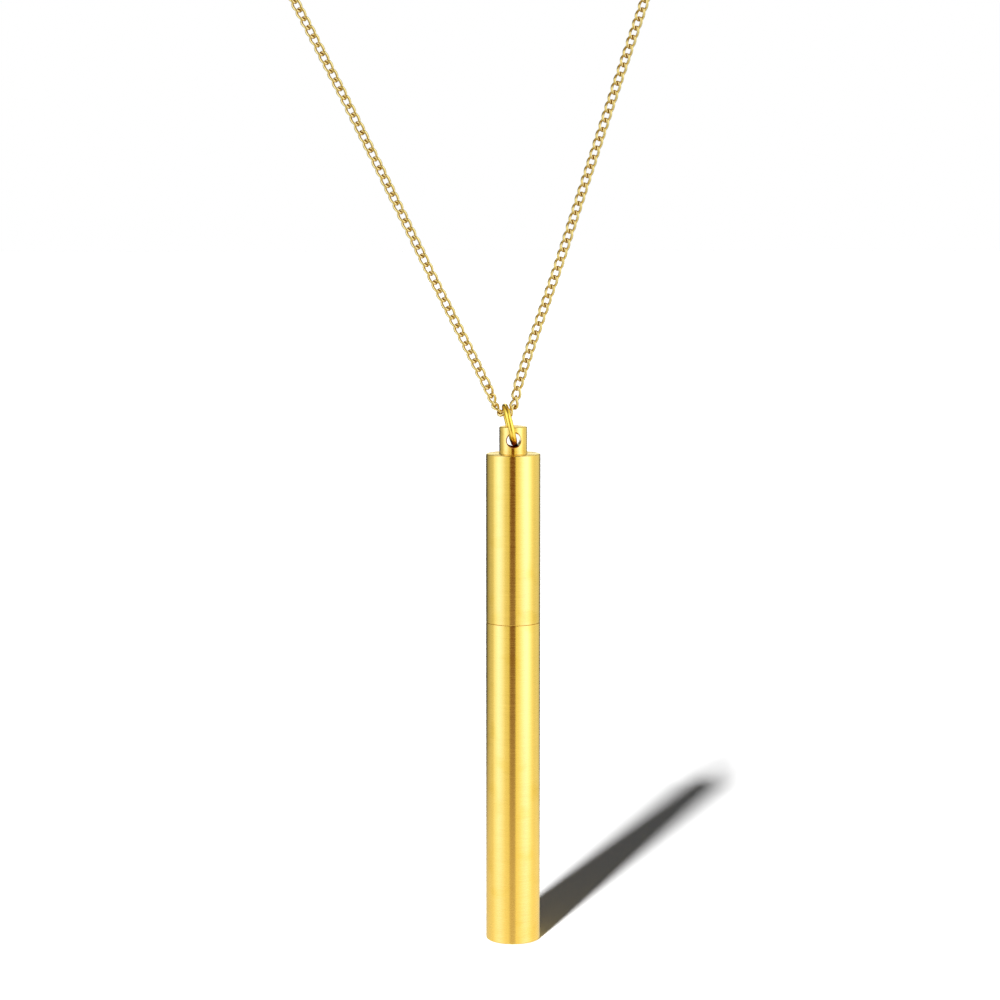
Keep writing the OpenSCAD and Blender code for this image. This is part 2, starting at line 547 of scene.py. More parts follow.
@dataclass(frozen=True)
class Thread:
    """A fine screw thread, cut into a turned wall by Geometry Nodes."""

    pitch: float = 0.5 * MM  # height of one turn
    depth: float = 0.2 * MM  # of the cut
    rows: int = 10  # of faces on each turn
    flank: Pair = (0.08, 0.42)  # shares of half a turn where the thread's flank starts and ends
    tolerance: float = 0.01 * MM  # how far off its radius a point still belongs to the wall

    def wall(self, radius: float, start: float, end: float) -> list[Triple]:
        """Gives a straight wall as evenly spaced corners, with the rows that the thread needs."""
        rows = round(abs(end - start) / self.pitch * self.rows)
        return [(radius, start + (end - start) * k / rows, 0.0) for k in range(rows + 1)]

    def tree(self, values: dict[str, Any]) -> NodeTree:
        """Builds the node tree that cuts the thread.

        Args:
            values: The value of each named input.

        Returns:
            The tree: points at the wall's radius between the two heights move to or from the axis
            by a trapezoid that climbs one pitch in each turn.
        """
        tree, node, given = node_group("screw_thread", values)
        place = node("GeometryNodeInputPosition")[0]
        middle = node("VectorMath.SUBTRACT", place, given["Middle"])[0]
        x, y, z = node("SeparateXYZ", middle)
        spoke = node("CombineXYZ", x, y)[0]
        radius = node("VectorMath.LENGTH", spoke)["Value"]
        outward = node("VectorMath.NORMALIZE", spoke)[0]
        angle = node("Math.ARCTAN2", y, x)[0]
        turns = node("Math.DIVIDE", angle, math.tau)[0]
        level = node("Math.DIVIDE", z, given["Pitch"])[0]
        climb = node("Math.SUBTRACT", level, turns)[0]
        phase = node("Math.FRACT", climb)[0]
        off_crest = node("Math.SUBTRACT", phase, 0.5)[0]
        distance = node("Math.ABSOLUTE", off_crest)[0]
        depth = node("MapRange", distance, *self.flank, 1.0, 0.0)[0]
        for end, sign in (("Bottom", 1.0), ("Top", -1.0)):
            past = node("Math.SUBTRACT", z, given[end])[0]
            share = node("Math.DIVIDE", past, given["Pitch"])[0]
            fade = node("Math.MULTIPLY", share, sign, use_clamp=True)[0]
            depth = node("Math.MULTIPLY", depth, fade)[0]
        move = node("Math.MULTIPLY", depth, given["Cut"])[0]
        offset = node("VectorMath.SCALE", outward, at={"Scale": move})[0]
        wall = given["Wall Radius"]
        at_wall = node("Math.COMPARE", radius, wall, self.tolerance)[0]
        cut = node("GeometryNodeSetPosition", given["Geometry"], at_wall, at={"Offset": offset})[0]
        real = node("GeometryNodeRealizeInstances", cut)[0]
        dressed = node("GeometryNodeSetMaterial", real, at={"Material": given["Material"]})[0]
        node("NodeGroupOutput", dressed)
        return tree

    def cut(self, piece: Object, axis: Vector, wall: Triple, sign: int, plate: Any) -> None:
        """Cuts the thread into a piece and gives it its finish.

        Args:
            piece: The piece.
            axis: A point on the thread's axis.
            wall: The wall's radius, and its lower and upper height above that point.
            sign: 1 to cut away from the axis, or -1 to cut towards it.
            plate: The piece's finish.
        """
        radius, bottom, top = wall
        values = {
            "Middle": Vector((axis.x, axis.y, 0)),
            "Wall Radius": radius,
            "Bottom": bottom + axis.z,
            "Top": top + axis.z,
            "Pitch": self.pitch,
            "Cut": sign * self.depth,
            "Material": plate.material(),
        }
        grown(piece, self.tree(values), values)


@dataclass
class UpperTube:
    """Upper tube of the capsule with its soldered stud, drilled eye and threaded plug."""

    shoulder: Vector  # middle of the tube's top face
    radius: float
    length: float  # from the shoulder to the seam
    plug_end: float  # height of the plug's lower end from the shoulder
    stud_height: float  # above the shoulder
    eye: float  # height of the eye's middle from the shoulder
    edge: float = 0.2 * MM  # rounding of the tube's and the plug's edges
    seam_edge: float = 0.14 * MM  # rounding of the tube's edge at the seam
    stud_radius: float = 2.05 * MM
    stud_edge: float = 0.2 * MM  # rounding of the stud's top edge
    stud_fillet: float = 0.12 * MM  # rounding of the solder at the stud's foot
    eye_radius: float = 1.05 * MM
    eye_sink: float = 0.3 * MM  # depth of the countersink at the eye's top, where the ring bears
    least_sink: float = 0.05 * MM  # and at the eye's bottom
    sink_rise: Pair = (-0.35, 0.5)  # sine round the eye where it starts to deepen, and its way to full
    sink_bow: float = 0.4  # how far the countersink bows out towards a sharp corner
    rim_rounds: int = 20  # in which the rim's radius is worked out
    eye_border: float = 0.3 * MM  # plain wall above and below the part with the eye
    plug_radius: float = 3.45 * MM
    relief_depth: float = 0.2 * MM  # groove between the plug's thread and the seam
    relief_width: float = 0.6 * MM
    bore_radius: float = 2.7 * MM
    top_thickness: float = 2.0 * MM
    segments: int = 128
    border_rows: int = 16  # faces up each side of the part with the eye
    border_shares: tuple[float, ...] = (1.0, 0.72, 0.5, 0.33, 0.2, 0.1, 0.04, 0.0)  # from border to rim
    sink_steps: int = 5  # faces across the countersink
    bore_rows: int = 3  # faces along half of the eye's bore
    thread: Thread = Thread()

    def build(self) -> Object:
        """Builds the piece: turned surfaces, the stud's wall round its eye, and the thread.

        Returns:
            The upper tube as one closed mesh in its finish.
        """
        shape = bmesh.new()
        spindle = Spindle(self.shoulder)
        wall_top, wall_bottom = self.stud_height - self.eye_border, self.eye_border
        top = [
            (0, self.stud_height, 0),
            (self.stud_radius, self.stud_height, self.stud_edge),
            (self.stud_radius, wall_top, 0),
        ]
        seam = -self.length
        root = self.plug_radius - self.relief_depth
        thread_top, thread_bottom = seam - self.relief_width, self.plug_end + self.edge
        rest = [
            (self.stud_radius, wall_bottom, 0),
            (self.stud_radius, 0, self.stud_fillet),
            (self.radius, 0, self.edge),
            (self.radius, seam, self.seam_edge),
            (root, seam, SMALL_FILLET),
            (root, thread_top, 0),
            *self.thread.wall(self.plug_radius, thread_top, thread_bottom),
            (self.plug_radius - self.edge, self.plug_end, 0),
            (self.bore_radius, self.plug_end, SMALL_FILLET),
            (self.bore_radius, -self.top_thickness, self.edge),
            (0, -self.top_thickness, 0),
        ]
        turn(shape, rounded(top), spindle, self.segments)
        turn(shape, rounded(rest), spindle, self.segments)
        for facing in (-1, 1):
            self.eye_wall(shape, facing, wall_bottom, wall_top)
        piece = finished(shape, "upper_tube_brushed")
        plate = BrushedGoldPlate("gold_plate_brushed_upper", spindle, eye=self.eye)
        self.thread.cut(piece, self.shoulder, (self.plug_radius, thread_bottom, thread_top), -1, plate)
        return piece

    def rim(self, angle: float) -> float:
        """Gives the radius at which the eye's countersink meets the stud's round wall.

        Args:
            angle: Angle round the eye's middle, from sideways to up.

        Returns:
            The rim's radius there.
        """
        radius = self.eye_radius
        for _ in range(self.rim_rounds):
            sunk = math.sqrt(self.stud_radius**2 - (radius * math.cos(angle)) ** 2)
            radius = self.eye_radius + sunk - (self.stud_radius - self.sink(angle))
        return max(radius, self.eye_radius + self.least_sink)

    def sink(self, angle: float) -> float:
        """Gives the depth of the eye's countersink, which the ring's wire needs only at the top."""
        share = min(max((math.sin(angle) - self.sink_rise[0]) / self.sink_rise[1], 0.0), 1.0)
        return self.least_sink + (self.eye_sink - self.least_sink) * share

    def wall_point(self, facing: int, across: float, height: float) -> Vector:
        """Gives a point of the stud's round wall.

        Args:
            facing: -1 for the front half, or 1 for the back half.
            across: Distance round the wall from the eye's middle line.
            height: Height above the shoulder.

        Returns:
            The point.
        """
        turned = across / self.stud_radius
        side = Vector((-facing * math.sin(turned), facing * math.cos(turned), 0))
        return self.shoulder + side * self.stud_radius + Vector((0, 0, height))

    def eye_point(self, facing: int, radius: float, angle: float, depth: float) -> Vector:
        """Gives the point at a radius and angle round the eye, and a distance along it."""
        across = Vector((-facing * radius * math.cos(angle), facing * depth, 0))
        return self.shoulder + across + Vector((0, 0, self.eye + radius * math.sin(angle)))

    def eye_wall(self, shape: BMesh, facing: int, bottom: float, top: float) -> None:
        """Adds one half of the stud's wall, with the eye's rim, countersink and half of its bore.

        Args:
            shape: The mesh in the making.
            facing: -1 for the front half, or 1 for the back half.
            bottom: Height of the wall's lower edge above the shoulder.
            top: Height of the wall's upper edge above the shoulder.
        """
        reach = math.pi * self.stud_radius / 2
        around, rows = self.segments // 2, self.border_rows
        border = [(-reach + 2 * reach * k / around, top) for k in range(around)]
        border += [(reach, top + (bottom - top) * k / rows) for k in range(rows)]
        border += [(reach - 2 * reach * k / around, bottom) for k in range(around)]
        border += [(-reach, bottom + (top - bottom) * k / rows) for k in range(rows)]
        angles = [math.atan2(height - self.eye, across) for across, height in border]
        rims = [self.rim(angle) for angle in angles]
        loops = []
        for share in self.border_shares:
            loop = []
            for (across, height), angle, rim in zip(border, angles, rims):
                x = self.stud_radius * math.asin(rim * math.cos(angle) / self.stud_radius)
                z = self.eye + rim * math.sin(angle)
                loop.append(self.wall_point(facing, x + (across - x) * share, z + (height - z) * share))
            loops.append(loop)
        for k in range(1, self.sink_steps + self.bore_rows + 1):
            loop = []
            for angle, rim in zip(angles, rims):
                rim_depth = math.sqrt(self.stud_radius**2 - (rim * math.cos(angle)) ** 2)
                corner = Vector((self.eye_radius, rim_depth))
                start = Vector((rim, rim_depth))
                end_depth = min(self.stud_radius - self.sink(angle), rim_depth - self.least_sink)
                end = Vector((self.eye_radius, end_depth))
                if k <= self.sink_steps:
                    t = k / self.sink_steps
                    pull = start.lerp(end, 0.5).lerp(corner, self.sink_bow)
                    point = start.lerp(pull, t).lerp(pull.lerp(end, t), t)
                else:
                    point = end.lerp(Vector((self.eye_radius, 0)), (k - self.sink_steps) / self.bore_rows)
                loop.append(self.eye_point(facing, point.x, angle, point.y))
            loops.append(loop)
        bridge(shape, [[shape.verts.new(point) for point in loop] for loop in loops])

    def assemble(self) -> None:
        """Builds the piece and seats it on its body."""
        seat(self.build(), "upper", "cap")


@dataclass
class LowerTube:
    """Lower tube of the capsule, with its threaded socket, chamber and closed base."""

    base: Vector  # middle of the tube's base
    radius: float
    length: float
    edge: float = 0.2 * MM  # rounding of the base's edge and of the chamber's floor
    seam_edge: float = 0.03 * MM  # rounding of the outside edge at the seam
    mouth_edge: float = 0.12 * MM  # bevel of the socket's mouth
    socket_radius: float = 3.5 * MM
    socket_depth: float = 4.34 * MM
    chamber_radius: float = 3.0 * MM
    base_thickness: float = 2.0 * MM
    segments: int = 128
    thread: Thread = Thread()

    def build(self) -> Object:
        """Builds the piece with its thread.

        Returns:
            The lower tube as one closed mesh in its finish.
        """
        shape = bmesh.new()
        spindle = Spindle(self.base)
        ledge = self.length - self.socket_depth
        mouth = self.length - self.mouth_edge
        outline = [
            (0, self.base_thickness, 0),
            (self.chamber_radius, self.base_thickness, self.edge),
            (self.chamber_radius, ledge, SMALL_FILLET),
            (self.socket_radius, ledge, 0),
            *self.thread.wall(self.socket_radius, ledge, mouth)[1:],
            (self.socket_radius + self.mouth_edge, self.length, 0),
            (self.radius, self.length, self.seam_edge),
            (self.radius, 0, self.edge),
            (0, 0, 0),
        ]
        turn(shape, rounded(outline), spindle, self.segments)
        piece = finished(shape, "lower_tube_brushed")
        plate = BrushedGoldPlate("gold_plate_brushed_lower", spindle)
        self.thread.cut(piece, self.base, (self.socket_radius, ledge, mouth), 1, plate)
        return piece

    def assemble(self) -> None:
        """Builds the piece and seats it on its body."""
        seat(self.build(), "lower", "lower_tube")


@dataclass
class JumpRing:
    """Jump ring of round wire, closed by squeezing its two sawn ends together."""

    middle: Vector
    normal: Vector  # the direction that its hole faces
    outer_radius: float
    wire: float = 0.9 * MM  # diameter
    slit: float = 0.03 * MM  # hairline between the ends
    slit_turn: float = math.radians(38)  # angle round the ring from its top towards its back
    steps: int = 128  # faces along the wire
    sides: int = 28  # faces round it

    def build(self) -> Object:
        """Builds the ring.

        Returns:
            The ring as one closed mesh with a cap on each end of its wire.
        """
        shape = bmesh.new()
        up = Vector((0, 0, 1)).cross(self.normal).cross(self.normal) * -1
        up.normalize()
        back = self.normal.cross(up) * -1
        if back.y < 0:
            back = -back
        radii = (self.outer_radius - self.wire / 2, self.wire / 2)
        gap = self.slit / radii[0]
        first = self.slit_turn + gap / 2
        angles = [first + (math.tau - gap) * k / self.steps for k in range(self.steps + 1)]
        loops = bent_wire(shape, self.middle, (up, back, self.normal), radii, angles, self.sides)
        bridge(shape, loops)
        shape.faces.new(loops[0])
        shape.faces.new(list(reversed(loops[-1])))
        return finished(shape, "jump_ring_wire")

    def assemble(self) -> None:
        """Builds the ring, dresses it and seats it on its body."""
        piece = self.build()
        plate = PolishedGoldPlate("gold_plate_polished_ring", colour="#ffe06a", deep_colour="#f8cc4c")
        dress(piece, plate.material())
        seat(piece, "ring", "jump_ring")


@dataclass
class ChainRoute:
    """Middle line of the chain, from the clasp round the neck to the jump ring and back."""

    hang: Vector  # where the jump ring hangs on the chain
    right_points: Points = (  # in millimetres, from the clasp down the right side
        (6.5, 0, 0), (14, -1, 0), (30, -7, -1), (45, -20, -4), (54, -38, -9),
        (57, -58, -16), (54, -75, -26), (47.5, -86, -40), (41, -89.4, -59), (31.7, -92.6, -85),
    )  # fmt: skip
    left_points: Points = (  # in millimetres, up the left side to the clasp
        (-19.5, -92.6, -85), (-33.5, -89.4, -59), (-44, -86, -40), (-53, -75, -26), (-57, -58, -16),
        (-54, -38, -9), (-45, -20, -4), (-30, -7, -1), (-14, -1, 0), (-6.5, 0, 0),
    )  # fmt: skip
    bend_radius: float = 1.3 * MM  # under the ring
    bend_steps: int = 8
    lead: float = 4 * MM  # straight stretch at each end of the bend
    ring_lean: float = math.radians(14)  # to the left
    strand_lean: float = math.radians(7)  # to the front
    left_slope: float = math.radians(25.5)  # of the left strand from upright
    right_slope: float = math.radians(18)  # of the right strand from upright
    samples: int = 24  # points on the line between two of the route's points

    def bend(self) -> list[Vector]:
        """Gives the route's points round its bend under the jump ring.

        Returns:
            The points on the bend, with one at the end of the straight lead on each side.
        """
        right = Vector((1, 0, 0))
        up = Vector((0, math.sin(self.strand_lean), math.cos(self.strand_lean)))
        offset = up * math.cos(self.ring_lean) - right * math.sin(self.ring_lean)
        middle = self.hang + offset * self.bend_radius
        first, last = math.pi / 2 - self.right_slope, self.left_slope - math.pi / 2
        angles = [first + (last - first) * i / self.bend_steps for i in range(self.bend_steps + 1)]
        arc = [middle + (right * math.sin(a) - up * math.cos(a)) * self.bend_radius for a in angles]
        into = (right * math.sin(self.right_slope) + up * math.cos(self.right_slope)) * self.lead
        out = (up * math.cos(self.left_slope) - right * math.sin(self.left_slope)) * self.lead
        return [arc[0] + into, *arc, arc[-1] + out]

    def line(self) -> list[Vector]:
        """Gives the route as a smooth line of closely spaced points.

        Returns:
            Points on the cubic curve through the route's points, whose direction at each is that
            of the circle through it and its two neighbours.
        """
        right, left = ([Vector(p) * MM for p in side] for side in (self.right_points, self.left_points))
        points = [*right, *self.bend(), *left]
        last = len(points) - 1
        headings = []
        for i in range(last + 1):
            before = points[i] - points[max(i - 1, 0)]
            after = points[min(i + 1, last)] - points[i]
            if i == 0:
                headings.append(after.normalized())
            elif i == last:
                headings.append(before.normalized())
            else:
                heading = before / before.length_squared + after / after.length_squared
                headings.append(heading.normalized())
        line = []
        for i in range(last):
            span = (points[i + 1] - points[i]).length
            start, end = headings[i] * span, headings[i + 1] * span
            for k in range(self.samples):
                t = k / self.samples
                line.append(
                    points[i] * (2 * t**3 - 3 * t**2 + 1)
                    + start * (t**3 - 2 * t**2 + t)
                    + points[i + 1] * (3 * t**2 - 2 * t**3)
                    + end * (t**3 - t**2)
                )
        return [*line, points[last]]


@dataclass
class CurbChain:
    """Fine curb chain: oval wire links, each twisted so that the chain lies flat."""

    route: ChainRoute  # the chain's middle line
    half_length: float = 0.925 * MM  # of a link, to the middle of its wire
    half_width: float = 0.565 * MM  # of a link, to the middle of its wire
    wire: float = 0.408 * MM  # diameter
    twist: float = 1.2 / MM  # how far a link's wire rises for each square metre across its corner
    pitch: float = 1.4354 * MM  # largest distance from one link to the next
    sides: int = 14  # steps round a link
    wire_sides: int = 6  # faces round its wire
    roll: float = math.radians(4)  # how far the links lie rolled about the chain
    wobble: float = math.radians(7)  # largest random roll of a link besides
    seed: int = 3
    bend_joints: Points = (  # in millimetres, where the links round the jump ring meet
        (12.967, -99.358, -139.774), (12.498, -99.524, -141.121), (12.305, -99.854, -142.462),
        (11.945, -100.121, -143.827), (11.249, -99.972, -144.838), (9.961, -99.928, -144.723),
        (9.190, -99.611, -143.552), (8.718, -99.479, -142.227), (8.181, -99.500, -140.925),
        (7.549, -99.343, -139.646),
    )  # fmt: skip
    bend_rolls: tuple[float, ...] = (0.0, 22.2, 50.3, 73.3, 80.6, 73.2, 48.3, 24.0, 0.0)  # degrees
    settle: float = 22 * MM  # length over which each side comes from these points onto the route
    seat_in: float = 0.11 * MM  # how far past half a link each end link reaches into the clasp's eye
    eye_roll: float = math.radians(-35)  # of each end link, which turns its wire square to the eye's
    eye_links: int = 6  # links over which that roll runs out
    residue_from: float = 0.8  # where painted shade starts on a link, as a share of its half length
    residue_share: float = 0.55  # how much painted shade darkens the very ends of a link, where links cross

    def joints(self) -> list[Vector]:
        """Gives the points where the links meet.

        Returns:
            The listed points at the ring, and evenly spaced ones along each side of the route, of which the
            first and last lie half a link past its ends, in the clasp's eyes.
        """
        line = self.route.line()
        by_hand = [Vector(p) * MM for p in self.bend_joints]
        right = self.side(line, by_hand[0])
        left = self.side(list(reversed(line)), by_hand[-1])
        return [*right, *by_hand, *reversed(left)]

    def side(self, line: list[Vector], end: Vector) -> list[Vector]:
        """Gives the points where the links of one side meet.

        Args:
            line: The route's points, from the clasp down this side.
            end: The outermost listed point, from which the side settles onto the route.

        Returns:
            Points from the clasp's eye to the last one before the end.
        """
        nearest = min(range(len(line)), key=lambda i: (line[i] - end).length)
        off_route = end - line[nearest]
        into_eye = (line[0] - line[1]).normalized() * (self.pitch / 2 + self.seat_in)
        way = [line[0] + into_eye, *line[: nearest + 1]]
        for i, point in enumerate(way):
            t = min((point - line[nearest]).length / self.settle, 1.0)
            way[i] = point + off_route * (1 - t * t * (3 - 2 * t))
        reach = [0.0]
        for first, second in zip(way, way[1:]):
            reach.append(reach[-1] + (second - first).length)
        count = math.ceil(reach[-1] / self.pitch)
        joints, i = [], 0
        for k in range(count):
            mark = reach[-1] * k / count
            while i < len(reach) - 2 and reach[i + 1] < mark:
                i += 1
            share = (mark - reach[i]) / (reach[i + 1] - reach[i])
            joints.append(way[i].lerp(way[i + 1], share))
        return joints

    def facings(self, along: list[Vector], last: Vector) -> list[Vector]:
        """Gives the way that each link of one side faces.

        Args:
            along: The links' directions, from the clasp to the ring.
            last: The way that the link at the ring faces.

        Returns:
            A direction for each link, straight up at the clasp and turned evenly to the last one.
        """
        facing = [Vector((0, 0, 1))]
        for before, after in zip(along, along[1:]):
            facing.append(before.rotation_difference(after) @ facing[-1])
        sense = 1 if facing[-1].cross(last).dot(along[-1]) > 0 else -1
        astray = facing[-1].angle(last) * sense
        return [
            Quaternion(heading, astray * i / (len(along) - 1)) @ flat
            for i, (heading, flat) in enumerate(zip(along, facing))
        ]

    def places(self) -> Object:
        """Makes a point for each link that holds how the link lies.

        Returns:
            An object whose points have the chain's direction, the link's flat side, its roll and
            its freedom to wobble as attributes.
        """
        joints = self.joints()
        middles = [first.lerp(second, 0.5) for first, second in zip(joints, joints[1:])]
        along = [(second - first).normalized() for first, second in zip(joints, joints[1:])]
        start = joints.index(Vector(self.bend_joints[0]) * MM)
        end = start + len(self.bend_joints) - 1
        lean = self.route.strand_lean
        front = Vector((0, -math.cos(lean), math.sin(lean)))
        flat = [(front - heading * front.dot(heading)).normalized() for heading in along]
        right = self.facings(along[: start + 1], flat[start])
        left = self.facings([*reversed(along[end - 1 :])], flat[end - 1])
        facing = [*right, *flat[start + 1 : end - 1], *reversed(left)]
        rolls = [self.roll] * len(middles)
        rolls[start:end] = [math.radians(degrees) for degrees in self.bend_rolls]
        free = [0.0 if start <= i < end else 1.0 for i in range(len(middles))]
        for i in range(self.eye_links):
            free[i] = free[-1 - i] = i / self.eye_links
            rolls[i] += self.eye_roll * (1 - free[i])
            rolls[-1 - i] -= self.eye_roll * (1 - free[i])
        mesh = bpy.data.meshes.new("curb_chain")
        mesh.from_pydata(middles, [], [])
        for name, values in (("along", along), ("facing", facing)):
            attribute = mesh.attributes.new(name, "FLOAT_VECTOR", "POINT")
            attribute.data.foreach_set("vector", [part for value in values for part in value])
        for name, values in (("roll", rolls), ("free", free)):
            mesh.attributes.new(name, "FLOAT", "POINT").data.foreach_set("value", values)
        return placed("curb_chain", mesh)

    def tree(self, values: dict[str, Any]) -> NodeTree:
        """Builds the node tree that makes a link and puts one on each point.

        Args:
            values: The value of each named input.

        Returns:
            The tree, which ends in real links with their material set.
        """
        tree, node, given = node_group("curb_links", values)
        circle = node("GeometryNodeCurvePrimitiveCircle", given["Sides"])[0]
        x, y, _ = node("SeparateXYZ", node("GeometryNodeInputPosition")[0])
        long_way = node("Math.MULTIPLY", x, given["Half Length"])[0]
        cross_way = node("Math.MULTIPLY", y, given["Half Width"])[0]
        corner = node("Math.MULTIPLY", long_way, cross_way)[0]
        rise = node("Math.MULTIPLY", corner, given["Twist"])[0]
        oval = node("CombineXYZ", long_way, cross_way, rise)[0]
        # painted shade at each link's ends, where the links cross
        toward_end = node("Math.MULTIPLY", x, x)[0]
        ends = (self.residue_from**2, 1.0, 0.0, self.residue_share)
        crossing_shade = node("MapRange", toward_end, *ends)[0]
        mark = {"Name": "crossing_shade", "Value": crossing_shade}
        marked = node("GeometryNodeStoreNamedAttribute", circle, at=mark)[0]
        bent = node("GeometryNodeSetPosition", marked, at={"Position": oval})[0]
        radius = {"Radius": given["Wire Radius"]}
        section = node("GeometryNodeCurvePrimitiveCircle", given["Wire Sides"], at=radius)[0]
        link = node("GeometryNodeCurveToMesh", bent, section)[0]
        kinds = {"along": "FLOAT_VECTOR", "facing": "FLOAT_VECTOR", "roll": "FLOAT", "free": "FLOAT"}
        along, facing, settled, free = (
            node("GeometryNodeInputNamedAttribute", name, data_type=kind)[0] for name, kind in kinds.items()
        )
        axes = {"primary_axis": "X", "secondary_axis": "Z"}
        lie = node("FunctionNodeAxesToRotation", along, facing, **axes)[0]
        least = node("Math.MULTIPLY", given["Wobble"], -1.0)[0]
        draw = {2: least, 3: given["Wobble"], 8: given["Seed"]}
        wobble = node("FunctionNodeRandomValue", at=draw)[1]
        loose = node("Math.MULTIPLY", wobble, free)[0]
        roll = node("Math.ADD", settled, loose)[0]
        about = node("CombineXYZ", roll)[0]
        rolled = node("FunctionNodeRotateRotation", lie, about, rotation_space="LOCAL")[0]
        linked = {"Instance": link, "Rotation": rolled}
        links = node("GeometryNodeInstanceOnPoints", given["Geometry"], at=linked)[0]
        real = node("GeometryNodeRealizeInstances", links)[0]
        smooth = node("GeometryNodeSetShadeSmooth", real)[0]
        dressed = node("GeometryNodeSetMaterial", smooth, at={"Material": given["Material"]})[0]
        node("NodeGroupOutput", dressed)
        return tree

    def assemble(self) -> None:
        """Builds the links, dresses them and seats them on their body."""
        piece = self.places()
        plate = PolishedGoldPlate(
            "gold_plate_polished_links",
            colour="#f0dc98",
            deep_colour="#dab866",
            # painted shade where the links cross
            residue_colour="#a86e10",
            roughness=0.1,
        )
        values = {
            "Half Length": self.half_length,
            "Half Width": self.half_width,
            "Twist": -self.twist,
            "Wire Radius": self.wire / 2,
            "Sides": self.sides,
            "Wire Sides": self.wire_sides,
            "Wobble": self.wobble,
            "Seed": self.seed,
            "Material": plate.material(),
        }
        grown(piece, self.tree(values), values)
        seat(piece, "necklace", "chain")


@dataclass
class BarrelClasp:
    """Closed barrel clasp at the nape, with an eye at each end for the chain's last links."""

    middle: Vector
    radius: float
    length: float = 9 * MM
    end_round: float = 0.6 * MM  # rounding of the barrel's ends
    seam: float = 0.16 * MM  # width of the groove between the barrel's halves, and of each grip groove
    groove_edge: float = 0.03 * MM  # rounding of the grooves' edges
    groove_share: float = 0.7  # depth of the grooves as a share of their width
    grip_from: float = 1.0 * MM  # first grip groove, from the middle
    grip_pitch: float = 0.5 * MM
    grip_grooves: int = 4  # on each half
    eye_wire: float = 0.5 * MM  # diameter
    eye_hole: float = 1.2 * MM  # diameter
    eye_offset: float = 5.25 * MM  # from the clasp's middle to each eye's middle
    eye_steps: int = 48  # faces along an eye's wire
    eye_sides: int = 20  # faces round it
    segments: int = 96  # faces round the barrel

    def build(self) -> Object:
        """Builds the barrel and its eyes and fuses them.

        Returns:
            The clasp as one closed mesh.
        """
        half = self.length / 2
        grips = [self.grip_from + k * self.grip_pitch for k in range(self.grip_grooves)]
        corners = [(0, -half, 0), (self.radius, -half, self.end_round)]
        for place in sorted([0.0, *grips, *(-grip for grip in grips)]):
            corners += [
                (self.radius, place - self.seam / 2, self.groove_edge),
                (self.radius - self.seam * self.groove_share, place, self.groove_edge),
                (self.radius, place + self.seam / 2, self.groove_edge),
            ]
        corners += [(self.radius, half, self.end_round), (0, half, 0)]
        shape = bmesh.new()
        turn(shape, rounded(corners), Spindle(self.middle, Axis.SIDEWAYS), self.segments)
        barrel = finished(shape, "barrel_clasp_turned")
        for side in (-1, 1):
            ring = self.eye(self.middle + Vector((side * self.eye_offset, 0, 0)))
            union = barrel.modifiers.new("eye", "BOOLEAN")
            union.operation = "UNION"
            union.solver = "EXACT"
            union.object = ring
            applied(barrel, union)
            bpy.data.objects.remove(ring)
        shape = bmesh.new()
        shape.from_mesh(barrel.data)
        bpy.data.objects.remove(barrel)
        return finished(shape, "barrel_clasp_turned")

    def eye(self, middle: Vector) -> Object:
        """Builds one eye, a ring of wire in the XZ plane.

        Args:
            middle: The eye's middle.

        Returns:
            The ring as its own object, for fusing.
        """
        shape = bmesh.new()
        axes = (Vector((1, 0, 0)), Vector((0, 0, 1)), Vector((0, 1, 0)))
        radii = ((self.eye_hole + self.eye_wire) / 2, self.eye_wire / 2)
        angles = [math.tau * k / self.eye_steps for k in range(self.eye_steps)]
        loops = bent_wire(shape, middle, axes, radii, angles, self.eye_sides, 0.5)
        bridge(shape, [*loops, loops[0]])
        return finished(shape, "clasp_eye")

    def assemble(self) -> None:
        """Builds the clasp, dresses it and seats it on its body."""
        piece = self.build()
        spindle = Spindle(self.middle, Axis.SIDEWAYS)
        dress(piece, BrushedGoldPlate("gold_plate_brushed_clasp", spindle).material())
        seat(piece, "necklace", "clasp")


class Tint(Enum):
    """Colours of the cloths that the light tent is hung with."""

    COOL = "#c8d6ff"
    WHITE = "#f4ffff"
    CREAM = "#fdffdc"
    STRAW = "#fffbac"
    AMBER = "#ff9600"
    DUSK = "#ccc0b8"


@dataclass(frozen=True)
class LightBand:
    """One upright band of the light tent that the metal reflects."""

    azimuth: float  # in degrees to the right of the camera
    brightness: float
    tint: Tint


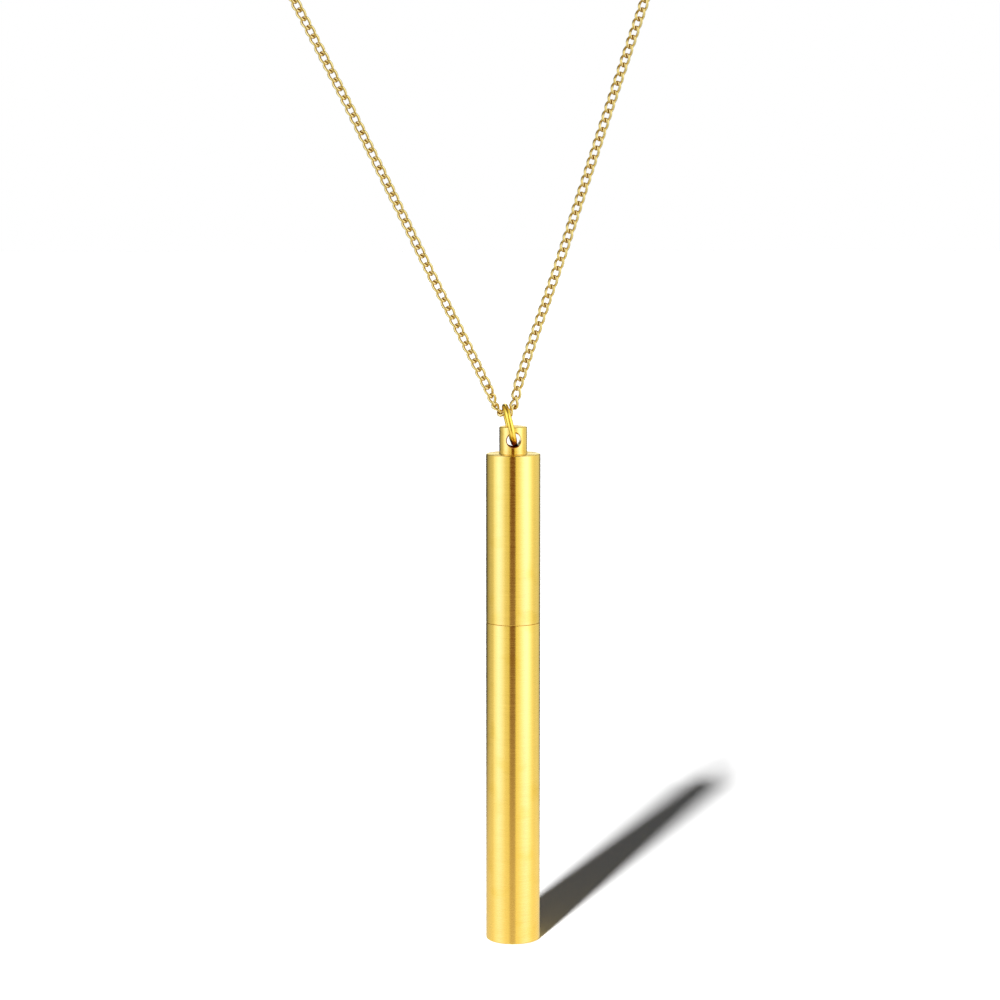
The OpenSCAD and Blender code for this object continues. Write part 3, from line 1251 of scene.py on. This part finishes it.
@dataclass
class Studio:
    """A plain pale floor, a soft light tent and the camera at the photograph's angle."""

    shoulder: Vector  # middle of the pendant's shoulder, from which the camera is placed
    foot: Vector  # middle of the floor, under the pendant
    lens: float = 95.76  # focal length for a sensor 36 mm wide
    distance: float = 389 * MM  # level, from the camera to the pendant's axis
    rise: float = 39.5 * MM  # of the camera above the shoulder
    sideways: float = 1.94 * MM  # of the camera to the left of the pendant's axis
    azimuth: float = -4.0  # of the camera, in degrees to the right of the front
    pitch: float = 6.8  # how far the camera looks down, in degrees
    key_from: float = -23.6  # in degrees to the right of the front
    key_height: float = 33.8  # in degrees above the floor
    key_size: float = 3.8  # width in degrees
    key_strength: float = 7.0  # just whitens the floor
    fill_size: float = 150.0  # width in degrees
    fill_strength: float = 0.22  # greys the shadow
    floor_reach: float = 4.0  # half the floor's side
    board_tint: str = "#f4f4f4"
    card_radius: float = 170 * MM
    card_core: float = 0.25  # share of the card's radius from which it fades
    card_cover: float = 0.66  # how much of the light behind it the card's middle covers
    card_glow: float = 1.3
    card_tint: str = "#fff7d6"
    peak: float = 3.0  # brightness of the tent that the bands' colours are a share of
    ceiling: Pair = (0.8, 0.97)  # heights where the ceiling starts and where it is whole
    ceiling_brightness: float = 0.3
    ceiling_tint: str = "#c79a5a"
    skirt: Pair = (-0.9, 0.1)  # heights where the tent starts to brighten and is full
    skirt_dim: float = 0.55  # brightness at the tent's foot
    bands: tuple[LightBand, ...] = (
        LightBand(-180, 1.20, Tint.CREAM),
        LightBand(-172, 1.20, Tint.CREAM),
        LightBand(-169, 0.05, Tint.DUSK),
        LightBand(-151, 0.06, Tint.DUSK),
        LightBand(-136, 0.42, Tint.CREAM),
        LightBand(-113, 0.74, Tint.CREAM),
        LightBand(-97, 0.88, Tint.CREAM),
        LightBand(-86, 1.45, Tint.WHITE),
        LightBand(-66, 2.75, Tint.COOL),
        LightBand(-54, 2.40, Tint.COOL),
        LightBand(-44, 1.40, Tint.WHITE),
        LightBand(-33, 1.00, Tint.CREAM),
        LightBand(-17, 0.93, Tint.STRAW),
        LightBand(-13.5, 0.175, Tint.AMBER),
        LightBand(8.8, 0.185, Tint.AMBER),
        LightBand(12.3, 1.12, Tint.STRAW),
        LightBand(26, 1.20, Tint.CREAM),
        LightBand(38, 1.70, Tint.WHITE),
        LightBand(50, 2.70, Tint.COOL),
        LightBand(63, 3.00, Tint.COOL),
        LightBand(78, 1.75, Tint.WHITE),
        LightBand(90, 1.22, Tint.CREAM),
        LightBand(105, 1.00, Tint.CREAM),
        LightBand(122, 1.02, Tint.CREAM),
        LightBand(142, 0.82, Tint.CREAM),
        LightBand(158, 0.10, Tint.DUSK),
        LightBand(169, 0.05, Tint.DUSK),
        LightBand(172, 1.20, Tint.CREAM),
        LightBand(180, 1.20, Tint.CREAM),
    )

    def camera(self) -> None:
        """Places the camera."""
        turned = math.radians(self.azimuth)
        right = Vector((math.cos(turned), math.sin(turned), 0))
        back = Vector((math.sin(turned), -math.cos(turned), 0))
        data = bpy.data.cameras.new("camera")
        data.lens = self.lens
        data.sensor_width = 36
        data.clip_start = 0.01
        data.clip_end = 50
        camera = placed("camera", data)
        place = self.shoulder + back * self.distance - right * self.sideways
        camera.location = place + Vector((0, 0, self.rise))
        camera.rotation_euler = (math.radians(90 - self.pitch), 0, turned)
        bpy.context.scene.camera = camera

    def tent(self) -> None:
        """Sets the world: a soft tent that only the metal sees, and white behind everything."""
        world = bpy.data.worlds.new("light_tent")
        bpy.context.scene.world = world
        node = emptied(world)
        x, y, z = node("SeparateXYZ", node("TexCoord")["Generated"])
        front = node("Math.MULTIPLY", y, -1.0)[0]
        angle = node("Math.ARCTAN2", x, front)[0]
        from_camera = node("Math.SUBTRACT", angle, math.radians(self.azimuth))[0]
        turns = node("Math.DIVIDE", from_camera, math.tau)[0]
        around = node("Math.ADD", turns, 0.5)[0]
        share = node("Math.FRACT", around)[0]
        cloth = node("ValToRGB", share)[0]
        stops = cloth.node.color_ramp.elements
        while len(stops) < len(self.bands):
            stops.new(0.5)
        for stop, band in zip(stops, self.bands):
            stop.position = band.azimuth / 360 + 0.5
        for stop, band in zip(stops, self.bands):
            glow = band.brightness / self.peak
            stop.color = [part * glow for part in linear(band.tint.value)[:3]] + [1.0]
        overhead = node("MapRange", z, *self.ceiling)[0]
        ceiling = [part * self.ceiling_brightness / self.peak for part in linear(self.ceiling_tint)]
        walls = node("Mix", overhead, at={6: cloth, 7: ceiling}, data_type="RGBA")[2]
        height = node("MapRange", z, *self.skirt, self.skirt_dim, 1.0)[0]
        glow = node("Math.MULTIPLY", height, self.peak)[0]
        tent = node("Background", walls, glow)[0]
        white = node("Background", linear("#ffffff"), 1.0)[0]
        seen = node("LightPath")["Is Camera Ray"]
        node("OutputWorld", node("MixShader", seen, tent, white)[0])
        world.cycles_visibility.diffuse = False

    def floor(self) -> None:
        """Lays the floor, and under the pendant a small bright card that only the metal sees."""
        floor = self.sheet("floor", self.floor_reach)
        material = bpy.data.materials.new("matt_white_board")
        node = emptied(material)
        matt = {"Base Color": linear(self.board_tint), "Roughness": 1.0, "Specular IOR Level": 0.0}
        node("OutputMaterial", node("BsdfPrincipled", at=matt)[0])
        dress(floor, material)
        floor.visible_glossy = False
        card = self.sheet("bounce_card", self.card_radius)
        material = bpy.data.materials.new("bright_card")
        node = emptied(material)
        place = node("TexCoord")["Object"]
        away = node("VectorMath.DISTANCE", place, self.foot)["Value"]
        fade = (self.card_core * self.card_radius, self.card_radius, self.card_cover, 0.0)
        share = node("MapRange", away, *fade)[0]
        clear = node("BsdfTransparent")[0]
        bright = node("Emission", linear(self.card_tint), self.card_glow)[0]
        node("OutputMaterial", node("MixShader", share, clear, bright)[0])
        dress(card, material)
        for ray in ("camera", "diffuse", "shadow", "transmission"):
            setattr(card, f"visible_{ray}", False)

    def sheet(self, name: str, reach: float) -> Object:
        """Makes a level square at the floor's height.

        Args:
            name: The object's name.
            reach: Half the square's side.

        Returns:
            The square.
        """
        mesh = bpy.data.meshes.new(name)
        signs = ((-1, -1), (1, -1), (1, 1), (-1, 1))
        mesh.from_pydata([self.foot + Vector((i, j, 0)) * reach for i, j in signs], [], [(0, 1, 2, 3)])
        sheet = placed(name, mesh)
        return sheet

    def lights(self) -> None:
        """Hangs the key light that casts the shadow, and a faint fill from above."""
        for name, azimuth, height, size, strength in (
            ("key", self.key_from, self.key_height, self.key_size, self.key_strength),
            ("fill", 0.0, 90.0, self.fill_size, self.fill_strength),
        ):
            data = bpy.data.lights.new(name, "SUN")
            data.energy = strength
            data.angle = math.radians(size)
            light = placed(name, data)
            light.rotation_euler = (math.radians(90 - height), 0, math.radians(azimuth))
            light.visible_glossy = False
            light.visible_camera = False

    def assemble(self) -> None:
        """Sets up the camera, the light and the floor."""
        self.camera()
        self.tent()
        self.floor()
        self.lights()
        scene = bpy.context.scene
        scene.view_settings.view_transform = "Standard"
        scene.view_settings.look = "None"


def hinge(frame: dict[str, Any], name: str) -> tuple[Vector, Vector]:
    """Gives the point that a hinge turns about and the direction of its axis."""
    joint = next(joint for joint in frame["joints"] if joint["name"] == name)
    return Vector(joint["pos_m"]), Vector(joint["axis"]).normalized()


def main() -> None:
    """Builds every sub-assembly round the frame."""
    logging.basicConfig(level=logging.INFO, format="%(name)s: %(message)s")
    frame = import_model()

    cap_low, cap_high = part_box("cap")
    tube_low, tube_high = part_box("lower_tube")
    ring_low, ring_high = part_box("jump_ring")
    clasp_low, clasp_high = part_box("clasp")
    hang, ring_normal = hinge(frame, "ring_swing")
    eye, _ = hinge(frame, "pendant_swing")
    middle = (cap_low + cap_high) / 2
    stud_height = 4 * MM
    shoulder = Vector((middle.x, middle.y, cap_high.z - stud_height))
    radius = (cap_high.x - cap_low.x) / 2

    base = Vector((middle.x, middle.y, tube_low.z))
    Studio(shoulder=shoulder, foot=base - Vector((0, 0, FLOOR_GAP))).assemble()
    UpperTube(
        shoulder=shoulder,
        radius=radius,
        length=shoulder.z - (tube_high.z + HAIRLINE),
        plug_end=cap_low.z - shoulder.z,
        stud_height=stud_height,
        eye=eye.z - shoulder.z,
    ).assemble()
    LowerTube(base=base, radius=radius, length=tube_high.z - tube_low.z).assemble()
    JumpRing(
        middle=(ring_low + ring_high) / 2,
        normal=ring_normal,
        outer_radius=(ring_high.y - ring_low.y) / 2,
    ).assemble()
    CurbChain(route=ChainRoute(hang=hang)).assemble()
    BarrelClasp(middle=(clasp_low + clasp_high) / 2, radius=clasp_high.y).assemble()


if __name__ == "__main__":
    main()
